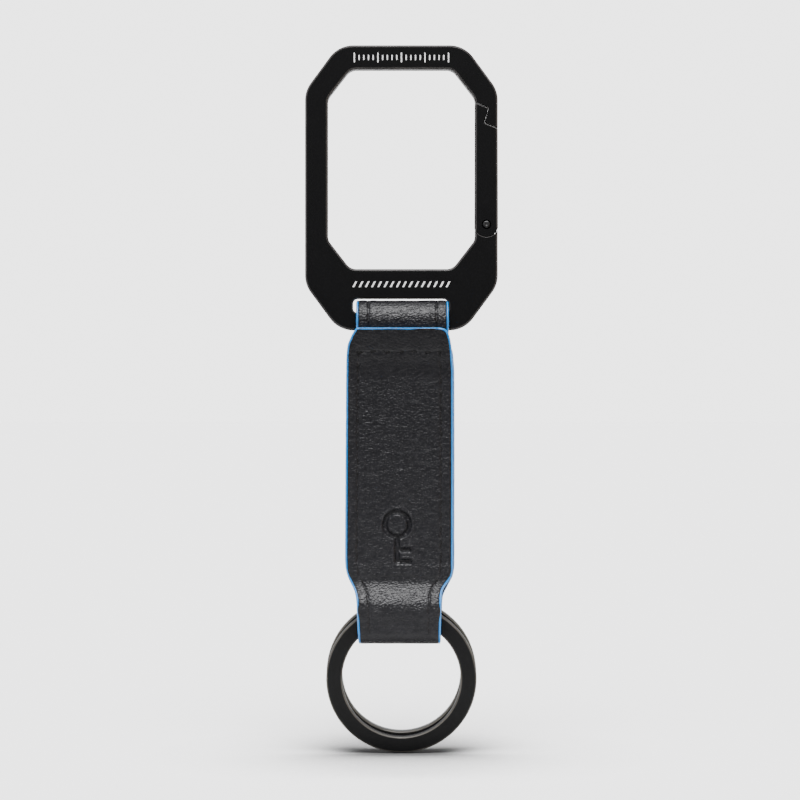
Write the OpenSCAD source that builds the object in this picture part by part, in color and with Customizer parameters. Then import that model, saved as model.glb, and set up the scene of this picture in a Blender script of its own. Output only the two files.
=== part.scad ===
// Key organiser: a flat hook plate with a sprung gate, a leather strip folded over
// the plate's lower bar, and a split ring held in the loop at the strip's lower end.
// +Z is up, -Y is the front, and the origin is the middle of the underside of the
// plate's top bar, where the organiser hangs.

/* [Hook plate] */
// Width over the side bands
plate_w = 41; // [37:0.5:52]
// Thickness of the plate
plate_t = 3.5; // [3.2:0.1:4.2]
// Height of the top bar
top_bar_h = 5.1; // [3.5:0.1:8]
// Width of each side band
band_w = 4.85; // [4.7:0.05:6]
// Height of the open window
window_h = 42.5; // [36:0.5:60]
// Height of the web between the window and the strap slot
web_h = 6.3; // [3:0.1:10]
// Height of the bar that the strap wraps round
low_bar_h = 3.7; // [3:0.1:4.4]
// Width of the plate's outer corner cuts
corner_x = 7.1; // [5:0.1:8]
// Height of the plate's outer corner cuts
corner_z = 9.65; // [7:0.05:11]
// Width of the window's corner cuts
window_cut_x = 4.8; // [3:0.1:6]
// Height of the window's corner cuts
window_cut_z = 6.2; // [4:0.1:7]
// Rounding of the plate's outer corners
plate_round = 6.2; // [2:0.1:7]
// Rounding of the window's corners
window_round = 2.6; // [1:0.1:3]
// Rounding of the strap slot's corners
slot_round = 1; // [0.6:0.1:1.4]
// Chamfer on the edges of the lower bar
bar_chamfer = 0.4; // [0.3:0.05:0.8]

/* [Gate] */
// Height of the hinge pin above the foot of the window
pin_rise = 9.5; // [8:0.1:11]
// Diameter of the hinge pin
pin_d = 1.6; // [1.2:0.05:1.7]
// Depth of each pin end below the face
pin_recess = 0.12; // [0.05:0.01:0.3]
// Radius of the gate's round foot
foot_r = 2.52; // [2.5:0.01:2.7]
// Gap round the gate's foot
foot_gap = 0.18; // [0.12:0.01:0.3]
// Depth of the nose joint below the top of the window
nose_drop = 7.2; // [7:0.1:9]
// Height of the step in the nose joint
nose_lap = 3.15; // [2:0.05:4]
// Undercut of the step in the nose joint
nose_hook = 0.94; // [0.3:0.01:1.1]
// Slope of the nose joint's short faces, in degrees
nose_slope = 22; // [15:1:30]
// Gap along the nose joint
nose_gap = 0.28; // [0.2:0.01:0.4]
// Thickness of the plate's hinge tongue
tongue_t = 1.3; // [1:0.05:1.4]
// Side clearance of the tongue between the gate's cheeks
tongue_gap = 0.1; // [0.05:0.01:0.2]
// Radius of the tongue's round cam
cam_r = 1.85; // [1.7:0.01:1.9]
// Offset of the cam's centre from the pin, which lifts the plunger
cam_offset = 0.5; // [0.3:0.01:0.6]
// Radial clearance of the pin in the tongue
pin_clearance = 0.05; // [0.02:0.01:0.08]
// Furthest that the gate opens, in degrees
gate_open = 35; // [20:1:38]
// Diameter of the plunger
plunger_d = 1.8; // [1.4:0.05:1.9]
// Length of the plunger
plunger_l = 2.6; // [2:0.1:4]
// Clearance of the plunger at its sides and at the cam
plunger_gap = 0.05; // [0.03:0.01:0.08]
// Length of the fitted spring
spring_l = 7; // [5:0.1:8]
// Wire diameter of the spring
spring_wire = 0.3; // [0.2:0.05:0.4]
// Turns of the spring
spring_turns = 7; // [4:1:9]

/* [Leather strip] */
// Thickness of the outer leather
leather_t = 0.85; // [0.7:0.05:1.1]
// Thickness of the lining
lining_t = 0.65; // [0.5:0.05:0.9]
// Width of the strap over the lower bar
strap_w = 19.6; // [16:0.1:21]
// Width of the panels
panel_w = 22.8; // [21.6:0.1:28]
// Width of the neck below the shoulders
neck_w = 17.7; // [15:0.1:18]
// Width at the foot of the ring loop
fold_w = 17; // [14:0.1:17.6]
// Inner radius of the strap round the bar
arch_r = 3; // [2.7:0.05:3.4]
// Distance over which the strap's two legs come together
leg_h = 12.3; // [10:0.1:15]
// Height from the bar's centre down to the front panel's lip
lip_drop = 1.6; // [1:0.1:2.5]
// Height of the front panel from its lip to the shoulders
panel_h = 51.6; // [43:0.1:64]
// Height of the shoulders
shoulder_h = 6; // [4:0.1:8]
// Height of the neck from the shoulders to the outside of the fold
neck_h = 9.2; // [8.6:0.1:12]
// Height of the panels' rounded top corners
corner_h = 6.5; // [3:0.1:8]
// Width of the panels' rounded top corners
corner_w = 2.2; // [1:0.1:4]
// Height of the tucked tail below the lip
tail_h = 16.7; // [14:0.1:30]
// Thickness of each glue line
glue = 0.05; // [0.03:0.01:0.08]
// Width of the painted edge
paint = 0.3; // [0.2:0.05:0.4]
// Room between the strap's arch and the top of the slot
slot_room = 0.35; // [0.3:0.05:0.8]
// Room beside the strap in the slot
slot_side = 0.5; // [0.3:0.05:1]
// Rounding of the fold inside the ring loop
fold_round = 1.3; // [1:0.05:1.5]
// Height over which the neck spreads round the ring
spread_h = 5.6; // [4.5:0.1:6]
// Furthest that the neck bends either way, in degrees
neck_bend = 35; // [20:1:40]

/* [Stitching] */
// Distance of the stitches from the edges
stitch_inset = 2.4; // [1.8:0.1:3]
// Distance from one stitch to the next
stitch_pitch = 2.75; // [2.4:0.05:3.5]
// Length of one stitch
stitch_l = 1.9; // [1.4:0.05:2]
// Diameter of the thread
thread_d = 0.4; // [0.3:0.05:0.5]
// Distance of the cross row below the front panel's lip
cross_row_drop = 4.9; // [4:0.1:7]

/* [Split ring] */
// Outer diameter of the ring
ring_d = 32; // [30:0.5:40]
// Inner diameter of the ring
ring_hole_d = 25.2; // [24.6:0.1:33]
// Thickness of one coil
coil_t = 2.1; // [1.5:0.05:2.3]
// Gap between the two coils
coil_gap = 0.1; // [0.05:0.01:0.15]
// Chamfer on the edges of the coils
coil_chamfer = 0.25; // [0.1:0.05:0.4]
// Angle of the front coil's free end, from the right-hand side
coil_end = 90; // [60:1:200]
// Angle over which one coil crosses to the other
ramp_angle = 30; // [20:1:40]
// Lean of the ring in its loop, with its top towards the front
ring_tilt = 6; // [4:1:12]
// Room for the ring in the depth of the loop
ring_room = 0.75; // [0.7:0.05:1]
// Clearance between the ring and the leather that it hangs on
ring_rest = 0.15; // [0.1:0.01:0.3]

/* [Hidden] */
$fn = 48;
over = 1;                              // how far a cut runs past the face that it opens

// the plate's levels, from the origin down
strip_t = leather_t + lining_t;
slot_top = -window_h - web_h;
bar_z = slot_top - slot_room - arch_r - strip_t;
bar_top = bar_z + low_bar_h / 2;
plate_foot = bar_z - low_bar_h / 2;
slot_w = strap_w + 2 * slot_side;
window_w = plate_w - 2 * band_w;

// the gate, on the middle of the right-hand band
pin_x = (plate_w - band_w) / 2;
pin_z = -window_h + pin_rise;
nose_w = band_w * 0.54;
nose_fall = nose_w * tan(nose_slope);
cheek_roof = cam_r + cam_offset * sin(gate_open) + 0.15;
plunger_foot = cam_r + plunger_gap;
spring_foot = plunger_foot + plunger_l + plunger_gap;
bore_top = spring_foot + spring_l + plunger_gap;
spring_r = plunger_d / 2 - spring_wire / 2 - 0.1;

// the strip's levels and its middle plane
stack_y = -1;
lip_z = bar_z - lip_drop;
tail_z = lip_z - tail_h;
shoulder_z = lip_z - panel_h;
shoulder_foot = shoulder_z - shoulder_h;
fold_z = shoulder_foot - neck_h;
neck_z = shoulder_z - 1.5;
board_foot = neck_z + 0.8;
neck_slope = neck_bend / 2 + 0.5;
neck_gap = 0.15;
groove_r = arch_r + strip_t - thread_d;

// the ring and the loop round it
ring_t = 2 * coil_t + coil_gap;
loop_half = ring_t / 2 + ring_room;
loop_floor = fold_z + strip_t;
ring_r = ring_d / 2;
hole_r = ring_hole_d / 2;
rim_h = sqrt(hole_r * hole_r - fold_w * fold_w / 4);
ring_z = loop_floor + ring_rest - rim_h * cos(ring_tilt) + ring_t / 2 * sin(ring_tilt);
ring_y = stack_y + (rim_h + ring_r) / 2 * sin(ring_tilt);

// ---- shared shapes ----

function lerp(a, b, u) = a + (b - a) * u;
function smooth(u) = let (v = min(1, max(0, u))) v * v * (3 - 2 * v);
function steps(a, b, n) = [for (i = [0:n]) lerp(a, b, i / n)];
function flip(list) = [for (i = [len(list) - 1:-1:0]) list[i]];
function unit(v) = v / norm(v);

// an outline whose corners are rounded by arcs; each point is [x, z, radius]
function round_corner(p, q, r, n) =
    let (c = [q[0], q[1]], u = unit([p[0], p[1]] - c), v = unit([r[0], r[1]] - c),
         half = acos(u * v) / 2, reach = q[2] / tan(half),
         m = c + unit(u + v) * q[2] / sin(half),
         a = c + u * reach - m, b = c + v * reach - m,
         a0 = atan2(a[1], a[0]), turn = atan2(b[1], b[0]) - a0,
         sweep = turn > 180 ? turn - 360 : turn < -180 ? turn + 360 : turn)
    [for (i = [0:n]) m + q[2] * [cos(a0 + sweep * i / n), sin(a0 + sweep * i / n)]];
function rounded(pts, n = 8) =
    let (k = len(pts))
    [for (i = [0:k - 1]) each round_corner(pts[(i + k - 1) % k], pts[i], pts[(i + 1) % k], n)];

// an eight-sided outline from top to foot, with its corners cut and rounded
function cut_corners(half_w, top, foot, cx, cz, r) =
    rounded([[half_w - cx, top, r], [half_w, top - cz, r],
             [half_w, foot + cz, r], [half_w - cx, foot, r],
             [cx - half_w, foot, r], [-half_w, foot + cz, r],
             [-half_w, top - cz, r], [cx - half_w, top, r]]);

// an outline in X and Z, made solid through the depth
module through(depth) {
    rotate([90, 0, 0]) linear_extrude(height = depth, center = true) children();
}

// a side profile in Y and Z, made solid across the width
module across(width) {
    rotate([90, 0, 90]) linear_extrude(height = width, center = true) children();
}

// ---- hook plate and gate ----

module plate_outline() {
    difference() {
        polygon(cut_corners(plate_w / 2, top_bar_h, plate_foot, corner_x, corner_z,
            plate_round));
        polygon(cut_corners(window_w / 2, 0, -window_h, window_cut_x, window_cut_z,
            window_round));
        polygon(rounded([[slot_w / 2, slot_top, slot_round], [slot_w / 2, bar_top, slot_round],
                         [-slot_w / 2, bar_top, slot_round], [-slot_w / 2, slot_top, slot_round]]));
    }
}

// the part of the band that belongs to the gate, grown by a gap
module gate_zone(gap, foot) {
    inner = window_w / 2;
    shift = gap * [1.22, 0.6];
    top = -nose_drop;
    low = pin_z - foot - over;
    difference() {
        union() {
            translate(shift)
                polygon([[inner - over, low - shift[1]], [inner - over, top],
                         [inner, top], [inner + nose_w, top - nose_fall],
                         [inner + nose_w - nose_hook, top - nose_fall - nose_lap],
                         [plate_w / 2 + over, top - nose_fall - nose_lap
                             - (band_w + over - nose_w + nose_hook) * tan(nose_slope)],
                         [plate_w / 2 + over, low - shift[1]]]);
            translate([inner - over, low]) square([over + gap * 2, -nose_drop - low]);
        }
        // leaves a round foot about the pin
        difference() {
            translate([inner - 2 * over, low - over])
                square([band_w + 4 * over, pin_z - low + over]);
            translate([pin_x, pin_z]) circle(r = foot);
        }
    }
}

// an edge cutter along X that takes one chamfer off the lower bar
module bar_edge(y, z) {
    translate([0, y, z]) rotate([45, 0, 0])
        cube([slot_w - 2 * slot_round, bar_chamfer * sqrt(2), bar_chamfer * sqrt(2)],
            center = true);
}

module at_pin() {
    translate([pin_x, 0, pin_z]) children();
}

module hook_frame() color([0.09, 0.09, 0.10]) {
    difference() {
        union() {
            difference() {
                through(plate_t) plate_outline();
                through(plate_t + over) gate_zone(nose_gap, foot_r + foot_gap);
            }
            // hinge tongue with its off-centre cam
            through(tongue_t) {
                translate([pin_x - cam_offset, pin_z]) circle(r = cam_r);
                translate([pin_x - cam_r, pin_z - foot_r - 1])
                    square([cam_r * 2 - cam_offset, foot_r + 1]);
            }
        }
        at_pin() rotate([90, 0, 0])
            cylinder(d = pin_d + 2 * pin_clearance, h = plate_t, center = true);
        for (y = [-1, 1], z = [bar_top, plate_foot]) bar_edge(y * plate_t / 2, z);
    }
}

module gate() color([0.10, 0.10, 0.11]) {
    difference() {
        intersection() {
            through(plate_t) plate_outline();
            through(plate_t + over) gate_zone(0, foot_r);
        }
        // the slot between the two cheeks
        at_pin() translate([0, 0, cheek_roof - foot_r - 1])
            cube([band_w + 2 * over, tongue_t + 2 * tongue_gap, 2 * foot_r + 2], center = true);
        at_pin() rotate([90, 0, 0]) cylinder(d = pin_d, h = plate_t + over, center = true);
        at_pin() translate([0, 0, cam_r - 0.2])
            cylinder(d = plunger_d + 2 * plunger_gap, h = bore_top - cam_r + 0.2);
    }
}

module gate_pin() color([0.45, 0.45, 0.46])
    at_pin() rotate([90, 0, 0])
        cylinder(d = pin_d, h = plate_t - 2 * pin_recess, center = true);

module gate_plunger() color([0.6, 0.6, 0.62])
    at_pin() translate([0, 0, plunger_foot]) cylinder(d = plunger_d, h = plunger_l);

// a coil of six-sided wire
module gate_spring() color([0.7, 0.7, 0.72]) {
    ends = 12;
    rings = spring_turns * ends;
    rise = (spring_l - spring_wire) / rings;
    points = [for (i = [0:rings], k = [0:5])
        let (a = i * 360 / ends, r = spring_r + spring_wire / 2 * cos(k * 60))
        [r * cos(a), r * sin(a), spring_wire / 2 + i * rise + spring_wire / 2 * sin(k * 60)]];
    faces = concat([[0, 1, 2, 3, 4, 5]], [[for (k = [5:-1:0]) rings * 6 + k]],
        [for (i = [0:rings - 1], k = [0:5])
            let (a = i * 6 + k, b = i * 6 + (k + 1) % 6)
            each [[a, a + 6, b + 6], [a, b + 6, b]]]);
    at_pin() translate([0, 0, spring_foot]) polyhedron(points, faces);
}

// ---- leather strip ----

// how far the strap's legs have come together at a height
function closing(z) = smooth((bar_z - z) / leg_h);
// inner faces of the tail, of the back strip and of the front strip
function tail_face(z) = lerp(-arch_r, stack_y + strip_t / 2, closing(z));
function back_face(z) = lerp(arch_r, stack_y + strip_t / 2 + glue, closing(z));
function front_face(z) = tail_face(z) - strip_t - glue;
// half the room between the front and back strips below the neck
function loop_face(z) = lerp(strip_t / 2 + glue, loop_half, smooth((neck_z - z) / spread_h));

// half width of the panels, shoulders and neck
function half_width(z) =
    z > shoulder_foot
    ? lerp(panel_w / 2, neck_w / 2, smooth((shoulder_z - z) / shoulder_h))
    : lerp(neck_w / 2, fold_w / 2, (shoulder_foot - z) / neck_h);

// one side of a panel's outline, from its top down past the fold
function panel_side(inset, top) = concat(
    [for (a = [90:-15:0])
        [panel_w / 2 - corner_w + (corner_w - inset) * cos(a),
         top - corner_h + (corner_h - inset) * sin(a)]],
    [for (z = steps(shoulder_z, shoulder_foot, 10)) [half_width(z) - inset, z]],
    [[fold_w / 2 - inset, fold_z], [fold_w / 2 - inset, fold_z - over]]);

module panel_outline(inset, top) {
    side = panel_side(inset, top);
    polygon(concat(side, [for (p = flip(side)) [-p[0], p[1]]]));
}

module painted_outline(top) {
    difference() {
        panel_outline(0, top);
        panel_outline(paint, top);
    }
}

// the front strip between two distances from its inner face
module front_profile(from, to) {
    levels = concat(steps(lip_z, bar_z - leg_h, 8), [neck_z]);
    polygon(concat([for (z = levels) [front_face(z) - from, z]],
                   [for (z = flip(levels)) [front_face(z) - to, z]]));
}

// the strap: the tail, the arch over the bar and the top of the back leg
function strap_path(d) = concat(
    [for (z = concat([tail_z], steps(bar_z - leg_h, bar_z, 8))) [tail_face(z) - d, z]],
    [for (a = [165:-15:15]) [(arch_r + d) * cos(a), bar_z + (arch_r + d) * sin(a)]],
    [for (z = concat([bar_z], steps(back_top, lip_z - corner_h, 3))) [back_face(z) + d, z]]);
module strap_profile(from, to) polygon(concat(strap_path(from), flip(strap_path(to))));

// the back panel, from just below the arch to the neck
back_top = lip_z - 0.6;
module back_profile(from, to) {
    levels = concat(steps(back_top, lip_z - corner_h, 3),
                    steps(lip_z - corner_h, bar_z - leg_h, 4), [neck_z]);
    polygon(concat([for (z = levels) [back_face(z) + from, z]],
                   [for (z = flip(levels)) [back_face(z) + to, z]]));
}

// the loop under the ring, at a distance outside its cavity
function loop_path(d) =
    let (down = steps(neck_z, loop_floor + fold_round, 12), half = loop_half - fold_round)
    concat(
        [for (z = down) [stack_y - loop_face(z) - d, z]],
        [for (a = [195:15:270]) [stack_y - half, loop_floor + fold_round]
            + (fold_round + d) * [cos(a), sin(a)]],
        [for (a = [270:15:345]) [stack_y + half, loop_floor + fold_round]
            + (fold_round + d) * [cos(a), sin(a)]],
        [for (z = flip(down)) [stack_y + loop_face(z) + d, z]]);
module loop_profile(from, to) polygon(concat(loop_path(from), flip(loop_path(to))));

// what lies above the neck's bending gap, or below it when turned over
module neck_side(up) {
    reach = 20;
    rise = reach * tan(neck_slope) + neck_gap / 2;
    translate([0, stack_y, neck_z]) mirror([0, 0, up ? 0 : 1])
        across(panel_w + 2 * over)
            polygon([[0, neck_gap / 2], [reach, rise], [reach, 80], [-reach, 80], [-reach, rise]]);
}

module front_strip(from, to) {
    intersection() {
        across(panel_w + over) front_profile(from, to);
        through(60) panel_outline(paint, lip_z);
        neck_side(true);
    }
}

module back_strip(from, to) {
    across(strap_w - 2 * paint) strap_profile(from, to);
    intersection() {
        across(panel_w + over) back_profile(from, to);
        through(60) panel_outline(paint, lip_z);
        neck_side(true);
    }
}

module loop_strip(from, to) {
    intersection() {
        across(panel_w + over) loop_profile(from, to);
        through(60) panel_outline(paint, lip_z);
        neck_side(false);
    }
}

module outer_leather_front() color([0.16, 0.16, 0.17]) front_strip(lining_t, strip_t);
module outer_leather_back() color([0.16, 0.16, 0.17]) {
    difference() {
        back_strip(lining_t, strip_t);
        // pressed grooves over the arch, which the strap's stitches lie in
        for (side = [-1, 1])
            translate([side * (strap_w / 2 - stitch_inset), 0, bar_z]) rotate([0, 90, 0])
                rotate_extrude($fn = 72)
                    translate([groove_r, -thread_d * 0.6]) square([over, thread_d * 1.2]);
    }
}
module outer_leather_loop() color([0.17, 0.17, 0.18]) loop_strip(lining_t, strip_t);
module lining_front() color([0.12, 0.12, 0.13]) front_strip(0, lining_t);
module lining_back() color([0.12, 0.12, 0.13]) back_strip(0, lining_t);
module lining_loop() color([0.12, 0.12, 0.13]) loop_strip(0, lining_t);

module stiffener_board() color([0.55, 0.45, 0.35]) {
    top = tail_z - 2 * glue;
    intersection() {
        translate([0, stack_y, (top + board_foot) / 2])
            cube([panel_w + over, strip_t, top - board_foot], center = true);
        through(60) panel_outline(paint + 0.2, lip_z);
    }
}

module edge_paint_front() color([0.25, 0.55, 0.78]) {
    intersection() {
        across(panel_w + over) front_profile(0, strip_t);
        through(60) painted_outline(lip_z);
        neck_side(true);
    }
}

module edge_paint_back() color([0.25, 0.55, 0.78]) {
    difference() {
        for (side = [-1, 1])
            translate([side * (strap_w - paint) / 2, 0, 0]) across(paint) strap_profile(0, strip_t);
        // the panel's own leather and paint take over below here
        translate([-strap_w, stack_y, back_top - corner_h])
            cube([2 * strap_w, 20, corner_h]);
    }
    difference() {
        intersection() {
            across(panel_w + over) back_profile(0, strip_t);
            through(60) painted_outline(lip_z);
            neck_side(true);
        }
        translate([-strap_w / 2, -10, back_top - over]) cube([strap_w, 20, 2 * over]);
    }
}

module edge_paint_loop() color([0.25, 0.55, 0.78]) {
    intersection() {
        across(panel_w + over) loop_profile(0, strip_t);
        through(60) painted_outline(lip_z);
        neck_side(false);
    }
}

// ---- stitching ----

// one straight stitch between two points
module stitch(p, q) {
    v = q - p;
    translate(p) rotate([0, acos(v[2] / norm(v)), atan2(v[1], v[0])])
        cylinder(d = thread_d, h = norm(v), $fn = 6);
}

// a row of stitches down both sides of a strip, between two heights;
// front and back give the middle of the thread at a height
module side_rows(top, foot, front, back) {
    count = floor((top - foot) / stitch_pitch);
    pitch = (top - foot) / count;
    for (i = [0:count - 1], side = [-1, 1]) {
        z = top - (i + 0.5) * pitch;
        a = z + stitch_l / 2;
        b = z - stitch_l / 2;
        stitch([side * (half_width(a) - stitch_inset), front(a), a],
               [side * (half_width(b) - stitch_inset), front(b), b]);
        stitch([side * (half_width(a) - stitch_inset), back(a), a],
               [side * (half_width(b) - stitch_inset), back(b), b]);
    }
}

thread_lift = thread_d / 2 + 0.05;
cross_z = lip_z - cross_row_drop;

module panel_stitches() color([0.05, 0.05, 0.05])
    side_rows(cross_z - 0.5, neck_z + 2.2,
        function (z) front_face(z) - strip_t - thread_lift,
        function (z) back_face(z) + strip_t + thread_lift);

module cross_stitches() color([0.05, 0.05, 0.05]) {
    run = panel_w - 2 * stitch_inset;
    count = floor(run / stitch_pitch);
    for (i = [0:count - 1])
        for (y = [front_face(cross_z) - strip_t - thread_lift - 0.05,
                  back_face(cross_z) + strip_t + thread_lift + 0.05]) {
            x = -run / 2 + (i + 0.5) * run / count;
            stitch([x - stitch_l / 2, y, cross_z], [x + stitch_l / 2, y, cross_z]);
        }
}

// the thread over the strap's arch lies in short chords, in its grooves
module strap_stitches() color([0.05, 0.05, 0.05]) {
    swing = stitch_l * 0.75 / groove_r * 90 / PI;
    lift = (groove_r + thread_d / 2 + 0.03) / cos(swing);
    for (a = [18:36:162], side = [-1, 1])
        stitch([side * (strap_w / 2 - stitch_inset), lift * cos(a - swing),
                bar_z + lift * sin(a - swing)],
               [side * (strap_w / 2 - stitch_inset), lift * cos(a + swing),
                bar_z + lift * sin(a + swing)]);
}

module loop_stitches() color([0.05, 0.05, 0.05])
    side_rows(neck_z - 2.2, loop_floor,
        function (z) stack_y - loop_face(z) - strip_t - thread_lift - 0.15,
        function (z) stack_y + loop_face(z) + strip_t + thread_lift + 0.15);

// ---- split ring ----

// the chamfered section of one coil, by its corners: [radius, height]
coil_section = [
    [hole_r, coil_chamfer], [hole_r + coil_chamfer, 0],
    [ring_r - coil_chamfer, 0], [ring_r, coil_chamfer],
    [ring_r, coil_t - coil_chamfer], [ring_r - coil_chamfer, coil_t],
    [hole_r + coil_chamfer, coil_t], [hole_r, coil_t - coil_chamfer]];

// a wedge about the ring's axis, from one angle to another
module sector(from, to, height) {
    reach = 2 * ring_d;
    translate([0, 0, -over]) linear_extrude(height = height + 2 * over)
        polygon([[0, 0], reach * [cos(from), sin(from)], reach * [cos(to), sin(to)]]);
}

module coil() {
    difference() {
        rotate_extrude($fn = 120) polygon(coil_section);
        sector(0, ramp_angle, coil_t);
    }
}

// the short length of wire that climbs from one coil to the other
module ramp() {
    climb = coil_t + coil_gap;
    slope = atan(climb / 2 / (hole_r * sin(ramp_angle / 2)));
    intersection() {
        difference() {
            cylinder(r = ring_r, h = ring_t);
            translate([0, 0, -over]) cylinder(r = hole_r, h = ring_t + 2 * over);
        }
        sector(-0.5, ramp_angle + 0.5, ring_t);
        rotate([0, 0, ramp_angle / 2]) translate([ring_r / 2, 0, ring_t / 2])
            rotate([slope, 0, 0])
                cube([ring_r * 2, ring_r * 2, coil_t * cos(slope)], center = true);
    }
}

module key_ring() color([0.13, 0.13, 0.14]) {
    translate([0, ring_y, ring_z]) rotate([90 + ring_tilt, 0, 0])
        translate([0, 0, -ring_t / 2]) {
            // rear coil, the ramp to the front, then the front coil to its free end
            rotate([0, 0, coil_end]) {
                coil();
                ramp();
                translate([0, 0, coil_t + coil_gap]) coil();
            }
        }
}

hook_frame();
gate();
gate_pin();
gate_spring();
gate_plunger();
outer_leather_front();
outer_leather_back();
outer_leather_loop();
lining_front();
lining_back();
lining_loop();
stiffener_board();
edge_paint_front();
edge_paint_back();
edge_paint_loop();
panel_stitches();
cross_stitches();
strap_stitches();
loop_stitches();
key_ring();
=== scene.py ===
import math

import bmesh
import bpy
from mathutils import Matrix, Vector, noise
from mathutils.geometry import tessellate_polygon


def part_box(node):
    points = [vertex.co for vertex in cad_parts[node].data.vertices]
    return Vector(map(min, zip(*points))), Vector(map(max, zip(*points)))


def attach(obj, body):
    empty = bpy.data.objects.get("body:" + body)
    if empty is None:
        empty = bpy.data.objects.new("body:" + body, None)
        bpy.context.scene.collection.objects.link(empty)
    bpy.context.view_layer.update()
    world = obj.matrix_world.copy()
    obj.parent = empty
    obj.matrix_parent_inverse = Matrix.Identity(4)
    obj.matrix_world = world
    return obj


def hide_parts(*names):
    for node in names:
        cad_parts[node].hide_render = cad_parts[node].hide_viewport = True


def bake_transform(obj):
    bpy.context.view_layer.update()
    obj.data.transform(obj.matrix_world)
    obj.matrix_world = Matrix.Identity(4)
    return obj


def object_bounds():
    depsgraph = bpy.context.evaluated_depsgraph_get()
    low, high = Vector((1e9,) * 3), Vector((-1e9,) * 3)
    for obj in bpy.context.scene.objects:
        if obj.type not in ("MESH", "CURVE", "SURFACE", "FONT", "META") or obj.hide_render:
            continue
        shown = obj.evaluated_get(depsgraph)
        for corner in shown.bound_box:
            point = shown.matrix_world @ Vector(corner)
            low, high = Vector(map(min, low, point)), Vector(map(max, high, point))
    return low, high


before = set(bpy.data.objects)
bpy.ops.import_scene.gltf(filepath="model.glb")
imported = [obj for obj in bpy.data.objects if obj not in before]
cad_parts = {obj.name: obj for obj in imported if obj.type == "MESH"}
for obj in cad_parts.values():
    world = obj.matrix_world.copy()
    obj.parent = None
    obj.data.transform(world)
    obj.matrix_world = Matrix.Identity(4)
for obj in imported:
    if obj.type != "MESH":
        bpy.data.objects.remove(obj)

cad_lo, cad_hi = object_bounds()

# ---- Hook plate ----
# One flat frame, milled from 3.5 mm aluminium plate, with a narrow chamfer on every
# outer edge, then bead-blasted and anodised black. Its thin tongue carries the gate.
MM = 0.001
plate_lo, plate_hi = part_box("hook_frame")
half_w = plate_hi.x / MM
half_t = plate_hi.y / MM
plate_top, plate_foot = plate_hi.z / MM, plate_lo.z / MM
band, window_foot = 4.85, -42.5
inner = half_w - band
chamfer, slot_chamfer, foot_chamfer = 0.42, 0.3, 0.12
joint_edge = 0.05
tongue_half, tongue_edge, cam_r, cam_shift = 0.65, 0.08, 1.85, 0.5
pin_x, pin_z = half_w - band / 2, window_foot + 9.5


def rounded_loop(corners, steps=10):
    """The outline through corners of (x, z, radius), with each corner as an arc."""
    points = []
    for i, (x, z, r) in enumerate(corners):
        q = Vector((x, z))
        u = (Vector(corners[i - 1][:2]) - q).normalized()
        v = (Vector(corners[(i + 1) % len(corners)][:2]) - q).normalized()
        half = u.angle(v) / 2
        middle = q + (u + v).normalized() * (r / math.sin(half))
        a = q + u * (r / math.tan(half)) - middle
        b = q + v * (r / math.tan(half)) - middle
        start = math.atan2(a.y, a.x)
        sweep = (math.atan2(b.y, b.x) - start + math.pi) % (2 * math.pi) - math.pi
        for k in range(steps + 1):
            t = start + sweep * k / steps
            points.append(middle + Vector((math.cos(t), math.sin(t))) * r)
    return points


def octagon(w, top, foot, cut_x, cut_z, r):
    """An eight-sided outline, clockwise from its top right corner."""
    return rounded_loop([
        (w - cut_x, top, r), (w, top - cut_z, r), (w, foot + cut_z, r), (w - cut_x, foot, r),
        (cut_x - w, foot, r), (-w, foot + cut_z, r), (-w, top - cut_z, r), (cut_x - w, top, r)])


def arc(cx, cz, r, start, end, steps):
    """Points along an arc, from one angle in degrees to another."""
    return [Vector((cx + r * math.cos(math.radians(start + (end - start) * k / steps)),
                    cz + r * math.sin(math.radians(start + (end - start) * k / steps))))
            for k in range(steps + 1)]


def inset(loop, widths):
    """Moves each edge of a loop to its right-hand side by its own width."""
    moved = []
    for i, p in enumerate(loop):
        d0 = (p - loop[i - 1]).normalized()
        d1 = (loop[(i + 1) % len(loop)] - p).normalized()
        n0, n1 = Vector((d0.y, -d0.x)), Vector((d1.y, -d1.x))
        w0, w1 = widths[i - 1], widths[i]
        cross = n0.x * n1.y - n0.y * n1.x
        if abs(cross) < 1e-4:
            moved.append(p + n1 * (w0 + w1) / 2)
        else:
            moved.append(p + Vector(((w0 * n1.y - w1 * n0.y) / cross,
                                     (w1 * n0.x - w0 * n1.x) / cross)))
    return moved


def plate_solid(bm, loops, half, edge_mark):
    """A flat plate between -half and half in Y. loops is [(points, chamfer widths)]; the
    metal is on each loop's right. Chamfers wide enough to take the painted edge highlight are
    marked on edge_mark."""
    # Chamfers at least this wide take the painted edge highlight.
    highlight_from = 0.08
    rims = []
    for loop, widths in loops:
        rings = []
        for share, depth in ((1, 0), (0.86, 0.07), (0.07, 0.86), (0, 1)):
            ring = inset(loop, [w * share for w in widths])
            biggest = [max(widths[i - 1], widths[i]) for i in range(len(loop))]
            rings.append([(p.x, half - b * depth, p.y) for p, b in zip(ring, biggest)])
        rings = [[(x, -y, z) for x, y, z in r] for r in rings] + rings[::-1]
        made = [[bm.verts.new([c * MM for c in co]) for co in r] for r in rings]
        for j in (1, 2, 5, 6):
            for v, wide in zip(made[j], biggest):
                v[edge_mark] = 1.0 if wide > highlight_from else 0.0
        for ra, rb in zip(made, made[1:]):
            for i in range(len(loop)):
                k = (i + 1) % len(loop)
                bm.faces.new((ra[i], ra[k], rb[k], rb[i]))
        rims.append((made[0], made[-1]))
    for side in (0, 1):
        verts = [v for rim in rims for v in rim[side]]
        outline = [[v.co.xzz for v in rim[side]] for rim in rims]
        outline = [[Vector((c.x, c.y, 0)) for c in line] for line in outline]
        for tri in tessellate_polygon(outline):
            bm.faces.new([verts[i] for i in tri])


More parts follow.
